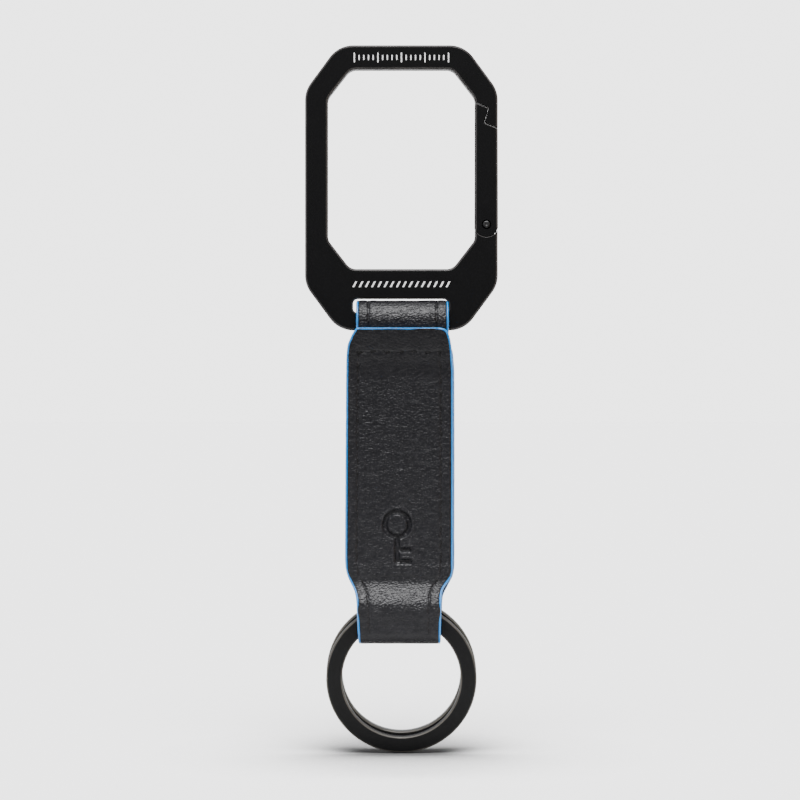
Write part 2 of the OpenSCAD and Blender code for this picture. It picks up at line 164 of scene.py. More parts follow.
def finished(name, bm, smooth=math.radians(20)):
    """Turns a bmesh into an object at the origin, smooth up to an angle."""
    bmesh.ops.recalc_face_normals(bm, faces=bm.faces)
    mesh = bpy.data.meshes.new(name)
    bm.to_mesh(mesh)
    bm.free()
    for face in mesh.polygons:
        face.use_smooth = True
    mesh.set_sharp_from_angle(angle=smooth)
    made = bpy.data.objects.new(name, mesh)
    bpy.context.collection.objects.link(made)
    return made


outer_line = octagon(half_w, plate_top, plate_foot, 7.1, 9.65, 6.2)
window_line = octagon(inner, 0, window_foot, 4.8, 6.2, 2.6)
per_corner = 11
nose_frame = [(half_w, -12.383), (17.671, -11.240), (18.611, -8.090), (inner, -6.894)]
foot_steps = 18
foot_frame = arc(pin_x, pin_z, 2.68, 206.1, 333.9, foot_steps)
outer_part = outer_line[2 * per_corner:] + outer_line[:2 * per_corner]
window_part = [p for p in window_line[:2 * per_corner] if p.y > -6.85][::-1]
window_part += window_line[2 * per_corner:][::-1]
frame_loop = outer_part + [Vector(p) for p in nose_frame] + window_part + foot_frame
n_out, n_win = len(outer_part), len(window_part)
frame_widths = ([chamfer] * n_out + [joint_edge] * 3 + [chamfer] * (n_win + 1)
                + [foot_chamfer] * foot_steps + [chamfer])
slot_top, slot_foot, slot_left, slot_right = -48.8, -51.8, -10.3, 10.1
slot_line = rounded_loop([(slot_right, slot_top, 1.2), (slot_left, slot_top, 1),
                          (slot_left, slot_foot, 1), (slot_right, slot_foot, 1)], 6)
bm = bmesh.new()
mark = bm.verts.layers.float.new("edge")
plate_solid(bm, [(frame_loop, frame_widths), (slot_line, [slot_chamfer] * len(slot_line))],
            half_t, mark)
tongue_foot = pin_z - 3.5
tongue = [Vector((pin_x + 1.35, tongue_foot)),
          *arc(pin_x - cam_shift, pin_z, cam_r, 0, 223, 24),
          Vector((pin_x - 1.85, tongue_foot))]
plate_solid(bm, [(tongue[::-1], [tongue_edge] * len(tongue))], tongue_half, mark)
hook_plate = finished("hook_plate", bm)


def shader_group(name, inputs, outputs):
    """An empty node group for a surface effect, and its input and output nodes."""
    tree = bpy.data.node_groups.new(name, "ShaderNodeTree")
    for label, kind, value in inputs:
        item = tree.interface.new_socket(name=label, in_out="INPUT", socket_type=kind)
        if value is not None:
            item.default_value = value
    for label, kind in outputs:
        tree.interface.new_socket(name=label, in_out="OUTPUT", socket_type=kind)
    return tree, tree.nodes.new("NodeGroupInput"), tree.nodes.new("NodeGroupOutput")


def node(tree, kind, values=None, **settings):
    """Adds a node, sets its properties, and fills or links its inputs."""
    made = tree.nodes.new(kind)
    for key, value in settings.items():
        setattr(made, key, value)
    for key, value in (values or {}).items():
        if isinstance(value, bpy.types.NodeSocket):
            tree.links.new(value, made.inputs[key])
        else:
            made.inputs[key].default_value = value
    return made


def blasted_group():
    """Bead-blasted, coated metal: fine dimples, faint clouding, and a painted highlight in the
    rim colour on marked edges, broken up in patches.
    """
    tree, into, out = shader_group(
        "blasted_metal",
        [("Place", "NodeSocketVector", None), ("Grain", "NodeSocketFloat", 9000.0),
         ("Dark", "NodeSocketColor", None), ("Light", "NodeSocketColor", None),
         ("Rim", "NodeSocketColor", None), ("Edge", "NodeSocketFloat", 0.0)],
        [("Color", "NodeSocketColor"), ("Roughness", "NodeSocketFloat"),
         ("Height", "NodeSocketFloat")])
    fine = node(tree, "ShaderNodeTexNoise", {"Vector": into.outputs["Place"],
                "Scale": into.outputs["Grain"], "Detail": 3.0, "Roughness": 0.6})
    cloud = node(tree, "ShaderNodeTexNoise", {"Vector": into.outputs["Place"], "Scale": 260.0,
                 "Detail": 5.0, "Roughness": 0.62})
    spots = node(tree, "ShaderNodeMapRange", {"Value": fine.outputs["Fac"], 1: 0.35, 2: 0.7})
    tone = node(tree, "ShaderNodeMapRange", {"Value": cloud.outputs["Fac"], 1: 0.3, 2: 0.75})
    blend = node(tree, "ShaderNodeMath", {0: spots.outputs[0], 1: tone.outputs[0]},
                 operation="MULTIPLY")
    # Painted edge highlight: the edge mark, broken up by cloud patches, mixes the colour towards
    # the lighter rim colour.
    highlight_patches = node(tree, "ShaderNodeMapRange", {"Value": cloud.outputs["Fac"], 1: 0.3, 2: 0.65,
                  3: 0.55, 4: 1.0})
    edge_highlight = node(tree, "ShaderNodeMath", {0: into.outputs["Edge"], 1: highlight_patches.outputs[0]},
                operation="MULTIPLY")
    colour = node(tree, "ShaderNodeMix", {"Factor": blend.outputs[0],
                  "A": into.outputs["Dark"], "B": into.outputs["Light"]}, data_type="RGBA")
    rimmed = node(tree, "ShaderNodeMix", {"Factor": edge_highlight.outputs[0],
                  "A": colour.outputs["Result"], "B": into.outputs["Rim"]}, data_type="RGBA")
    rough = node(tree, "ShaderNodeMapRange", {"Value": edge_highlight.outputs[0], 3: 0.5, 4: 0.34})
    tree.links.new(rimmed.outputs["Result"], out.inputs["Color"])
    tree.links.new(rough.outputs[0], out.inputs["Roughness"])
    tree.links.new(fine.outputs["Fac"], out.inputs["Height"])
    return tree


blasted = blasted_group()


def material(name, rough, metal=0.0, specular=0.5):
    """A new material with a plain Principled shader; returns it, its tree and shader."""
    made = bpy.data.materials.new(name)
    made.use_nodes = True
    shader = made.node_tree.nodes["Principled BSDF"]
    shader.inputs["Roughness"].default_value = rough
    shader.inputs["Metallic"].default_value = metal
    shader.inputs["Specular IOR Level"].default_value = specular
    return made, made.node_tree, shader


def metal_finish(name, dark, light, grain, bump, metal, specular, rim):
    """Coated metal in two tones, mixed towards a rim colour where the mesh has an edge mark; a
    light rim colour there is a painted edge highlight.
    """
    made, tree, shader = material(name, 0.45, metal, specular)
    place = node(tree, "ShaderNodeTexCoord")
    edge = node(tree, "ShaderNodeAttribute", attribute_name="edge")
    group = node(tree, "ShaderNodeGroup", node_tree=blasted)
    tree.links.new(place.outputs["Object"], group.inputs["Place"])
    tree.links.new(edge.outputs["Fac"], group.inputs["Edge"])
    group.inputs["Grain"].default_value = grain
    group.inputs["Dark"].default_value = (*dark, 1)
    group.inputs["Light"].default_value = (*light, 1)
    group.inputs["Rim"].default_value = (*rim, 1)
    relief = node(tree, "ShaderNodeBump", {"Height": group.outputs["Height"],
                  "Strength": bump, "Distance": 0.00004})
    tree.links.new(group.outputs["Color"], shader.inputs["Base Color"])
    tree.links.new(group.outputs["Roughness"], shader.inputs["Roughness"])
    tree.links.new(relief.outputs[0], shader.inputs["Normal"])
    return made


# The light rim colour is a painted highlight on the plate's wider chamfers.
black_anodised = metal_finish("black_anodised", (0.0016, 0.0016, 0.0018),
                              (0.003, 0.003, 0.0032), 9000.0, 0.2, 0.0, 0.1,
                              (0.045, 0.042, 0.041))
hook_plate.data.materials.append(black_anodised)
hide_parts("hook_frame")
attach(hook_plate, "hook")

# ---- Gate ----
# The right-hand band's moving part, sawn from the same plate. Its stepped nose laps the
# frame's, two cheeks straddle the tongue, and a bore up its middle holds the spring.
gate_nose = [(inner, -7.2), (18.519, -8.359), (17.579, -11.509), (half_w, -12.689)]
foot_steps = 22
gate_foot = arc(pin_x, pin_z, 2.58, -15.8, -164.2, foot_steps)
gate_loop = [Vector(p) for p in gate_nose] + gate_foot
gate_widths = [0.12, joint_edge, 0.14, chamfer] + [joint_edge] * foot_steps + [chamfer]
bm = bmesh.new()
mark = bm.verts.layers.float.new("edge")
plate_solid(bm, [(gate_loop, gate_widths)], half_t, mark)
gate = finished("gate_bar", bm)


def drilled(target, cutters):
    """Cuts closed shapes out of a piece and leaves it a plain mesh."""
    for i, cutter in enumerate(cutters):
        tool = target.modifiers.new("cut", "BOOLEAN")
        tool.operation, tool.solver, tool.object = "DIFFERENCE", "EXACT", cutter
    result = bpy.data.meshes.new_from_object(
        target.evaluated_get(bpy.context.evaluated_depsgraph_get()))
    target.modifiers.clear()
    target.data = result
    result.set_sharp_from_angle(angle=math.radians(20))
    for cutter in cutters:
        bpy.data.objects.remove(cutter)


def round_bar(name, radius, start, end, sides=40):
    """A cylinder between two points in millimetres."""
    a, b = Vector(start) * MM, Vector(end) * MM
    turn = (b - a).to_track_quat("Z", "Y").to_matrix().to_4x4()
    turn.translation = (a + b) / 2
    shape = bmesh.new()
    bmesh.ops.create_cone(shape, cap_ends=True, segments=sides, radius1=radius * MM,
                          radius2=radius * MM, depth=(b - a).length, matrix=turn)
    return finished(name, shape)


def block(name, low, high):
    """A box between two corners in millimetres."""
    shape = bmesh.new()
    bmesh.ops.create_cube(shape, size=1)
    lo, hi = Vector(low) * MM, Vector(high) * MM
    for v in shape.verts:
        v.co = (lo + hi) / 2 + Vector((v.co.x * (hi.x - lo.x), v.co.y * (hi.y - lo.y),
                                       v.co.z * (hi.z - lo.z)))
    return finished(name, shape)


cheek_half, cheek_top = 0.75, pin_z + 2.287
pin_hole_r, bore_r = 1.0, 0.95
drilled(gate, [
    block("cheek_slot", (inner - 1, -cheek_half, pin_z - 4),
          (half_w + 1, cheek_half, cheek_top)),
    round_bar("pin_hole", pin_hole_r, (pin_x, -3, pin_z), (pin_x, 3, pin_z)),
    round_bar("spring_bore", bore_r, (pin_x, 0, pin_z + 1.65), (pin_x, 0, pin_z + 11.6))])
gate.data.materials.append(black_anodised)
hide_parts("gate")
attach(gate, "gate")

# ---- Hinge pin, plunger and spring ----
# A turned steel pin is pressed through the cheeks, with its domed ends a little below
# the faces. The plunger and its coil spring close the gate from inside the bore.
bm = bmesh.new()
mark = bm.verts.layers.float.new("edge")
pin_profile = [(0, 0.09), (0.2, 0.08), (0.3, 0.0), (0.5, 0.0), (0.68, 0.06), (0.8, 0.16),
               (0.85, 0.3)]
pin_sunk = 0.1
pin_rings = [(r, -half_t + pin_sunk + d) for r, d in pin_profile]
pin_rings += [(r, -y) for r, y in pin_rings[::-1]]
around = 36
last = None
for r, y in pin_rings:
    if r == 0:
        ring = [bm.verts.new((pin_x * MM, y * MM, pin_z * MM))]
    else:
        ring = [bm.verts.new(((pin_x + r * math.cos(2 * math.pi * k / around)) * MM, y * MM,
                              (pin_z + r * math.sin(2 * math.pi * k / around)) * MM))
                for k in range(around)]
    for v in ring:
        v[mark] = 0.9 if r > 0.6 else 0.3
    if last:
        for k in range(around):
            j = (k + 1) % around
            corners = ([last[0], ring[j], ring[k]] if len(last) == 1 else
                       [last[k], last[j], ring[0]] if len(ring) == 1 else
                       [last[k], last[j], ring[j], ring[k]])
            bm.faces.new(corners)
    last = ring
hinge_pin = finished("hinge_pin", bm, math.radians(50))
pin_steel = metal_finish("pin_steel", (0.02, 0.02, 0.02), (0.12, 0.12, 0.12), 2600.0, 0.8,
                         0.85, 0.4, (0.05, 0.05, 0.05))
hinge_pin.data.materials.append(pin_steel)
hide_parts("gate_pin")
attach(hinge_pin, "gate")
spring_steel = metal_finish("spring_steel", (0.36, 0.36, 0.37), (0.55, 0.55, 0.56), 5000.0,
                            0.2, 1.0, 0.5, (0.6, 0.6, 0.6))
for inside in ("gate_spring", "gate_plunger"):
    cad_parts[inside].data.materials.clear()
    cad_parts[inside].data.materials.append(spring_steel)

# ---- Printed marks ----
# White pad-printed marks, a few hundredths of a millimetre thick: a graduated scale on
# the top bar, and a row of slanted dashes on the lower web.


def flat_mark(name, outline, thick):
    """One thin mark, drawn in XY and raised towards Z."""
    shape = bmesh.new()
    foot = [shape.verts.new((x * MM, y * MM, 0)) for x, y in outline]
    top = [shape.verts.new((x * MM, y * MM, thick * MM)) for x, y in outline]
    shape.faces.new(foot)
    shape.faces.new(top[::-1])
    for i in range(len(outline)):
        k = (i + 1) % len(outline)
        shape.faces.new((foot[i], foot[k], top[k], top[i]))
    return finished(name, shape)


def repeat_tree():
    """Copies of a shape at even steps along edge paths, turned to the path and to its
    'facing' attribute, every few of them taller, with a seeded tilt and stretch."""
    tree = bpy.data.node_groups.new("repeat_along", "GeometryNodeTree")
    for label, kind, value in (
            ("Geometry", "NodeSocketGeometry", None), ("Shape", "NodeSocketObject", None),
            ("Pitch", "NodeSocketFloat", 0.001), ("Tall Every", "NodeSocketInt", 1),
            ("Tall", "NodeSocketFloat", 1.0), ("Tilt", "NodeSocketFloat", 0.0),
            ("Stretch", "NodeSocketFloat", 0.0), ("Seed", "NodeSocketInt", 3),
            ("Material", "NodeSocketMaterial", None)):
        item = tree.interface.new_socket(name=label, in_out="INPUT", socket_type=kind)
        if value is not None:
            item.default_value = value
    tree.interface.new_socket(name="Geometry", in_out="OUTPUT", socket_type="NodeSocketGeometry")
    into, out = tree.nodes.new("NodeGroupInput"), tree.nodes.new("NodeGroupOutput")
    source = into.outputs
    curve = node(tree, "GeometryNodeMeshToCurve", {"Mesh": source["Geometry"]})
    even = node(tree, "GeometryNodeResampleCurve", {"Curve": curve.outputs[0],
                "Length": source["Pitch"]}, mode="LENGTH")
    shape = node(tree, "GeometryNodeObjectInfo", {"Object": source["Shape"]})
    facing = node(tree, "GeometryNodeInputNamedAttribute", {"Name": "facing"},
                  data_type="FLOAT_VECTOR")
    tangent = node(tree, "GeometryNodeInputTangent")
    along = node(tree, "FunctionNodeAlignRotationToVector", {"Vector": tangent.outputs[0]},
                 axis="X")
    outward = node(tree, "FunctionNodeAlignRotationToVector", {"Rotation": along.outputs[0],
                   "Vector": facing.outputs[0]}, axis="Z", pivot_axis="X")
    low = node(tree, "ShaderNodeMath", {0: source["Tilt"], 1: -1.0}, operation="MULTIPLY")
    tilt = node(tree, "FunctionNodeRandomValue", {2: low.outputs[0], 3: source["Tilt"],
                "Seed": source["Seed"]}, data_type="FLOAT")
    spin = node(tree, "ShaderNodeCombineXYZ", {"Z": tilt.outputs[1]})
    turned = node(tree, "FunctionNodeRotateRotation", {"Rotation": outward.outputs[0],
                  "Rotate By": spin.outputs[0]}, rotation_space="LOCAL")
    index = node(tree, "GeometryNodeInputIndex")
    step = node(tree, "ShaderNodeMath", {0: index.outputs[0], 1: source["Tall Every"]},
                operation="FLOORED_MODULO")
    is_tall = node(tree, "ShaderNodeMath", {0: step.outputs[0], 1: 0.5}, operation="LESS_THAN")
    height = node(tree, "ShaderNodeMix", {"Factor": is_tall.outputs[0], 2: 1.0,
                  3: source["Tall"]}, data_type="FLOAT")
    shrink = node(tree, "ShaderNodeMath", {0: 1.0, 1: source["Stretch"]}, operation="SUBTRACT")
    length = node(tree, "FunctionNodeRandomValue", {2: shrink.outputs[0], 3: 1.0,
                  "Seed": source["Seed"]}, data_type="FLOAT")
    scale = node(tree, "ShaderNodeCombineXYZ", {"X": length.outputs[1],
                 "Y": height.outputs[0], "Z": 1.0})
    placed = node(tree, "GeometryNodeInstanceOnPoints", {"Points": even.outputs[0],
                  "Instance": shape.outputs["Geometry"], "Rotation": turned.outputs[0],
                  "Scale": scale.outputs[0]})
    real = node(tree, "GeometryNodeRealizeInstances", {0: placed.outputs[0]})
    done = node(tree, "GeometryNodeSetMaterial", {"Geometry": real.outputs[0],
                "Material": source["Material"]})
    tree.links.new(done.outputs[0], out.inputs[0])
    return tree


repeat_along = repeat_tree()


def repeated(name, paths, shape, finish, **inputs):
    """Copies shape along paths of (point, facing) pairs; the result is a plain mesh."""
    mesh = bpy.data.meshes.new(name)
    points, edges, facings = [], [], []
    for path in paths:
        edges += [(len(points) + i, len(points) + i + 1) for i in range(len(path) - 1)]
        points += [Vector(p) * MM for p, _ in path]
        facings += [f for _, f in path]
    mesh.from_pydata(points, edges, [])
    layer = mesh.attributes.new("facing", "FLOAT_VECTOR", "POINT")
    layer.data.foreach_set("vector", [c for f in facings for c in f])
    made = bpy.data.objects.new(name, mesh)
    bpy.context.collection.objects.link(made)
    maker = made.modifiers.new("repeat", "NODES")
    maker.node_group = repeat_along
    keys = {i.name: i.identifier for i in repeat_along.interface.items_tree
            if i.in_out == "INPUT"}
    maker[keys["Shape"]], maker[keys["Material"]] = shape, finish
    for label, value in inputs.items():
        maker[keys[label.replace("_", " ").title()]] = value
    result = bpy.data.meshes.new_from_object(
        made.evaluated_get(bpy.context.evaluated_depsgraph_get()))
    made.modifiers.clear()
    made.data = result
    result.name = name
    bpy.data.objects.remove(shape)
    return made


def mottled(name, rough, specular, texture, values, dark, light, bump=None, **settings):
    """A finish in two tones of one texture; bump is its (strength, distance), if any."""
    made, tree, shader = material(name, rough, 0.0, specular)
    place = node(tree, "ShaderNodeTexCoord")
    pattern = node(tree, texture, {"Vector": place.outputs["Object"], **values}, **settings)
    tone = node(tree, "ShaderNodeMix", {"Factor": pattern.outputs["Fac"], "A": (*dark, 1),
                "B": (*light, 1)}, data_type="RGBA")
    tree.links.new(tone.outputs["Result"], shader.inputs["Base Color"])
    if bump:
        raised = node(tree, "ShaderNodeBump", {"Height": pattern.outputs["Fac"],
                      "Strength": bump[0], "Distance": bump[1]})
        tree.links.new(raised.outputs[0], shader.inputs["Normal"])
    return made


white_print = mottled("white_print", 0.5, 0.5, "ShaderNodeTexNoise",
                      {"Scale": 2500.0, "Detail": 2.0}, (0.62, 0.62, 0.62), (0.86, 0.86, 0.86))
face_y, ink_t = -half_t, 0.03
scale_z, dash_z = 2.45, -45.75
tick = flat_mark("tick", [(-0.13, -0.462), (-0.09, -0.55), (0.09, -0.55), (0.13, -0.462),
                          (0.13, 0.462), (0.09, 0.55), (-0.09, 0.55), (-0.13, 0.462)], ink_t)
scale_marks = repeated("scale_marks", [[((-10, face_y, scale_z), (0, -1, 0)),
                                        ((10.01, face_y, scale_z), (0, -1, 0))]], tick,
                       white_print, pitch=0.001, tall_every=5, tall=1.9)
dash = flat_mark("dash", [(-0.5, -0.6), (-0.12, -0.6), (0.5, 0.6), (0.12, 0.6)], ink_t)
dash_marks = repeated("dash_marks", [[((-9.9, face_y, dash_z), (0, -1, 0)),
                                      ((9.91, face_y, dash_z), (0, -1, 0))]], dash,
                      white_print, pitch=0.00132)
for marks in (scale_marks, dash_marks):
    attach(marks, "hook")

# ---- Leather strip ----
# One strip of black pebbled leather: its front lip lies on the bar, and it runs down the
# front, round the split ring, up the back, over the bar and down inside as a tail.
# It is skived thin at its edges and sewn down both sides, with a blind-pressed key sign.
strip_t, lining_t = 1.5, 0.65
stack_y, glue = -1.0, 0.05
bar_z, arch_r, leg_h = -53.65, 3.0, 12.3
lip_z, tail_z, neck_z, fold_z = -55.25, -71.95, -108.35, -122.05
loop_half, fold_r, spread_h = 2.9, 1.3, 5.6
loop_floor = fold_z + strip_t
strap_left, strap_right = -9.42, 9.86
cross_z, stitch_in = lip_z - 4.9, 2.4
groove_depth, row_depth, sign_depth = 0.24, 0.28, 0.55


def smooth(u):
    """Eases from 0 to 1 with flat ends."""
    v = min(1.0, max(0.0, u))
    return v * v * (3 - 2 * v)


def lerp(a, b, u):
    return a + (b - a) * u


def between(table, z):
    """A smooth value from a table of (height, value), highest first."""
    if z >= table[0][0]:
        return table[0][1]
    for (z0, v0), (z1, v1) in zip(table, table[1:]):
        if z >= z1:
            return lerp(v0, v1, (z0 - z) / (z0 - z1))
    return table[-1][1]


def closing(z):
    """How far the panels have come together, from 0 at the bar to 1."""
    return smooth((bar_z - z) / leg_h)


def tail_face(z):
    """Y of the inner tail's front face."""
    return lerp(-arch_r, stack_y + strip_t / 2, closing(z))


def loop_face(z):
    """Half the gap between the two sides of the ring's loop."""
    return lerp(strip_t / 2 + glue, loop_half, smooth((neck_z - z) / spread_h))


def strip_path():
    """Dense stations (y, z, outward y, outward z, part) along the strip's inner face."""
    path = []
    n = 1060
    for i in range(n):
        z = lerp(lip_z, neck_z, i / n)
        path.append((tail_face(z) - strip_t - glue, z, -1, 0, "front"))
    low = loop_floor + fold_r
    for i in range(260):
        z = lerp(neck_z, low, i / 260)
        path.append((stack_y - loop_face(z), z, -1, 0, "front"))
    for i in range(70):
        a = math.radians(180 + 90 * i / 70)
        path.append((stack_y - loop_half + fold_r + fold_r * math.cos(a),
                     low + fold_r * math.sin(a), math.cos(a), math.sin(a), "fold"))
    for i in range(64):
        path.append((stack_y + lerp(-1, 1, i / 64) * (loop_half - fold_r), loop_floor, 0, -1,
                     "fold"))
    for i in range(70):
        a = math.radians(270 + 90 * i / 70)
        path.append((stack_y + loop_half - fold_r + fold_r * math.cos(a),
                     low + fold_r * math.sin(a), math.cos(a), math.sin(a), "fold"))
    for i in range(260):
        z = lerp(low, neck_z, i / 260)
        path.append((stack_y + loop_face(z), z, 1, 0, "back"))
    for i in range(1094):
        z = lerp(neck_z, bar_z, i / 1094)
        path.append((lerp(arch_r, stack_y + strip_t / 2 + glue, closing(z)), z, 1, 0, "back"))
    for i in range(240):
        a = math.pi * i / 240
        path.append((arch_r * math.cos(a), bar_z + arch_r * math.sin(a), math.cos(a),
                     math.sin(a), "strap"))
    for i in range(361):
        z = lerp(bar_z, tail_z, i / 360)
        path.append((tail_face(z), z, -1, 0, "strap"))
    return path


left_edge = [(-55.25, -9.35), (-55.5, -9.62), (-56.6, -10.3), (-58.6, -11.2), (-60.8, -11.48),
             (-66, -11.58), (-85, -11.7), (-104.4, -11.8), (-106.0, -11.66), (-107.2, -11.4),
             (-108.3, -10.98), (-110.05, -10.1), (-111.0, -9.72), (-112.0, -9.46),
             (-113.2, -9.32), (-116, -9.2), (-119, -9.08), (-120.6, -8.92), (-121.4, -8.75),
             (-122.1, -8.4)]
right_edge = [(-55.25, 8.2), (-55.32, 8.75), (-55.6, 9.3), (-56.2, 9.75), (-57.6, 10.18),
              (-59.7, 10.5), (-64.4, 10.82), (-85, 10.85), (-105.2, 10.82), (-106.6, 10.74),
              (-107.5, 10.56), (-108.2, 10.28), (-109.06, 9.6), (-110.05, 8.86),
              (-110.9, 8.5), (-111.9, 8.33), (-113.8, 8.24), (-117, 8.2), (-120.4, 8.16),
              (-121.3, 8.02), (-122.1, 7.7)]


def edges_at(z, part):
    """Left and right edges of the strip in X."""
    if part == "strap":
        return strap_left, strap_right
    left = sum(between(left_edge, z + d) for d in (-0.3, -0.15, 0, 0.15, 0.3)) / 5
    right = sum(between(right_edge, z + d) for d in (-0.3, -0.15, 0, 0.15, 0.3)) / 5
    if z > lip_z - 0.8:
        left, right = between(left_edge, z), between(right_edge, z)
    if part == "back":
        up = smooth((z - lip_z + 5.5) / 5.3)
        right += 0.32 + 0.45 * math.exp(-((z + 110.3) / 1.5) ** 2)
        left, right = lerp(left + 0.25, strap_left, up), lerp(right, strap_right, up)
    return left, right


def stations(path, step):
    """Picks stations along a dense path, step(z, part) apart, with their length so far."""
    picked, run, since = [], 0.0, 1e9
    last = None
    for i, (y, z, ny, nz, part) in enumerate(path):
        out = Vector((y + ny * strip_t, z + nz * strip_t))
        if last is not None:
            since += (out - last).length
            run += (out - last).length
        last = out
        if since >= step(z, part) or i == len(path) - 1:
            picked.append((y, z, ny, nz, part, run))
            since = 0.0
    return picked


sign_x, sign_z = -0.9, -99.2


def sign_distance(x, z):
    """Distance from the strokes of the pressed sign, a plain key: a bow, a shank, two bits."""
    u, w = x - sign_x, z - sign_z

    def stroke(ax, az, bx, bz):
        t = max(0.0, min(1.0, ((u - ax) * (bx - ax) + (w - az) * (bz - az))
                         / ((bx - ax) ** 2 + (bz - az) ** 2)))
        return math.hypot(u - ax - (bx - ax) * t, w - az - (bz - az) * t)
    bow = abs(math.hypot(u, w - 2.5) - 2.6)
    return min(bow, stroke(0, -0.1, 0, -5.4), stroke(0, -2.9, 2.6, -2.9),
               stroke(0, -5.4, 2.6, -5.4))


def relief(x, s, z, part, gap):
    """How far the grain side stands off its flat shape; gap is the distance to the edge."""
    rise = 0.045 * noise.noise((x / 6, s / 7, 1.3)) + 0.02 * noise.noise((x / 2.3, s / 2.3, 4.1))
    if gap < 0.6:
        rise -= 0.26 * (1 - gap / 0.6) ** 2
    sewn = part in ("back", "strap") or part == "front" and z < cross_z
    if sewn:
        beat = 0.72 + 0.28 * math.cos(2 * math.pi * s / 2.75)
        rise -= groove_depth * math.exp(-((gap - stitch_in) / 0.23) ** 2) * beat
        rise += 0.07 * math.exp(-((gap - 1.3) / 0.6) ** 2)
        rise += 0.05 * math.exp(-((gap - 3.5) / 0.7) ** 2)
    if part == "front":
        row = z - cross_z - 0.12 * math.sin(x * 0.9)
        if gap > stitch_in - 0.3:
            beat = 0.7 + 0.3 * math.cos(2.285 * x)
            rise -= row_depth * math.exp(-(row / 0.28) ** 2) * beat
            rise += 0.05 * math.exp(-((row + 0.9) / 0.6) ** 2)
        knot = math.hypot((x + 9.1) / 2.0, (z - cross_z) / 1.2)
        if knot < 2:
            rise += 0.3 * noise.noise((x / 0.9, z / 0.55, 7.7)) * math.exp(-knot * knot)
        crease = z + 107.95 - 0.35 * math.exp(-(x / 4) ** 2) + 0.12 * noise.noise((x / 1.6, 0, 9))
        rise -= 0.07 * math.exp(-(crease / 0.2) ** 2)
        rise += 0.13 * smooth((crease + 0.35) / 0.5) * smooth(1.6 - crease / 2.2)
        rise += 0.22 * math.exp(-((z + 115.1) / 1.7) ** 2)
        fine = math.exp(-((z + 106.4) / 1.6) ** 2) + 0.7 * math.exp(-((z + 110.8) / 2.2) ** 2)
        if fine > 0.02:
            ridge = abs(noise.noise((x / 1.5, z / 0.62, 2.2)))
            rise += 0.1 * fine * (ridge - 0.25)
        d = sign_distance(x, z)
        if d < 1.5:
            rise -= sign_depth * smooth((0.64 - d) / 0.38)
            rise += 0.1 * math.exp(-((d - 0.84) / 0.2) ** 2)
    if part == "strap":
        rise += 0.03 * noise.noise((x / 1.2, s / 1.1, 5.5))
    return rise


def leather_sheet(name, d_in, d_out, step, edge_gaps, middle, textured):
    """A closed strip between two depths, finely divided on its outer side only."""
    rows = stations(strip_path(), step)
    bm = bmesh.new()
    uv = bm.loops.layers.uv.new("strip")
    outer, under, place = [], [], {}
    for y, z, ny, nz, part, s in rows:
        left, right = edges_at(z, part)
        margin = edge_gaps[-1]
        xs = [left + g for g in edge_gaps]
        xs += [lerp(left + margin, right - margin, (k + 1) / (middle + 1)) for k in range(middle)]
        xs += [right - g for g in reversed(edge_gaps)]
        line = []
        for x in xs:
            gap = min(x - left, right - x)
            d = d_out + (relief(x, s, z, part, gap) if textured else 0)
            v = bm.verts.new((x * MM, (y + ny * d) * MM, (z + nz * d) * MM))
            place[v] = (x / 200 + 0.25, s / 200)
            line.append(v)
        outer.append(line)
        coarse = [xs[0], *[lerp(left, right, k / 6) for k in range(1, 6)], xs[-1]]
        line = []
        for x in coarse:
            v = bm.verts.new((x * MM, (y + ny * d_in) * MM, (z + nz * d_in) * MM))
            place[v] = (x / 200 + 0.6, s / 200)
            line.append(v)
        under.append(line)
    for grid, flip in ((outer, False), (under, True)):
        for a, b in zip(grid, grid[1:]):
            for i in range(len(a) - 1):
                quad = (a[i], b[i], b[i + 1], a[i + 1])
                bm.faces.new(quad[::-1] if flip else quad)
    for a, b, c, d in zip(outer, outer[1:], under, under[1:]):
        bm.faces.new((a[0], c[0], d[0], b[0]))
        bm.faces.new((b[-1], d[-1], c[-1], a[-1]))
    bm.faces.new(outer[0] + under[0][::-1])
    bm.faces.new(outer[-1][::-1] + under[-1])
    for face in bm.faces:
        for loop in face.loops:
            loop[uv].uv = place[loop.vert]
    return finished(name, bm, math.radians(45))


def leather_step(z, part):
    """Row spacing: finest at the pressed sign, the neck and the cross row."""
    if part == "front":
        if -105.2 < z < -93.8:
            return 0.15
        return 0.2 if z < -103 or abs(z - cross_z) < 1.6 else 0.38
    if part == "fold" or z < -106:
        return 0.26
    return 0.32 if part == "strap" and z > -56 else 0.9


edge_gaps = [0, 0.06, 0.16, 0.3, 0.5, 0.8, 1.15, 1.5, 1.8, 2.0, 2.15, 2.28, 2.4, 2.52, 2.65,
             2.8, 3.0, 3.3, 3.7]
leather = leather_sheet("leather_strip", lining_t, strip_t, leather_step, edge_gaps, 88, True)


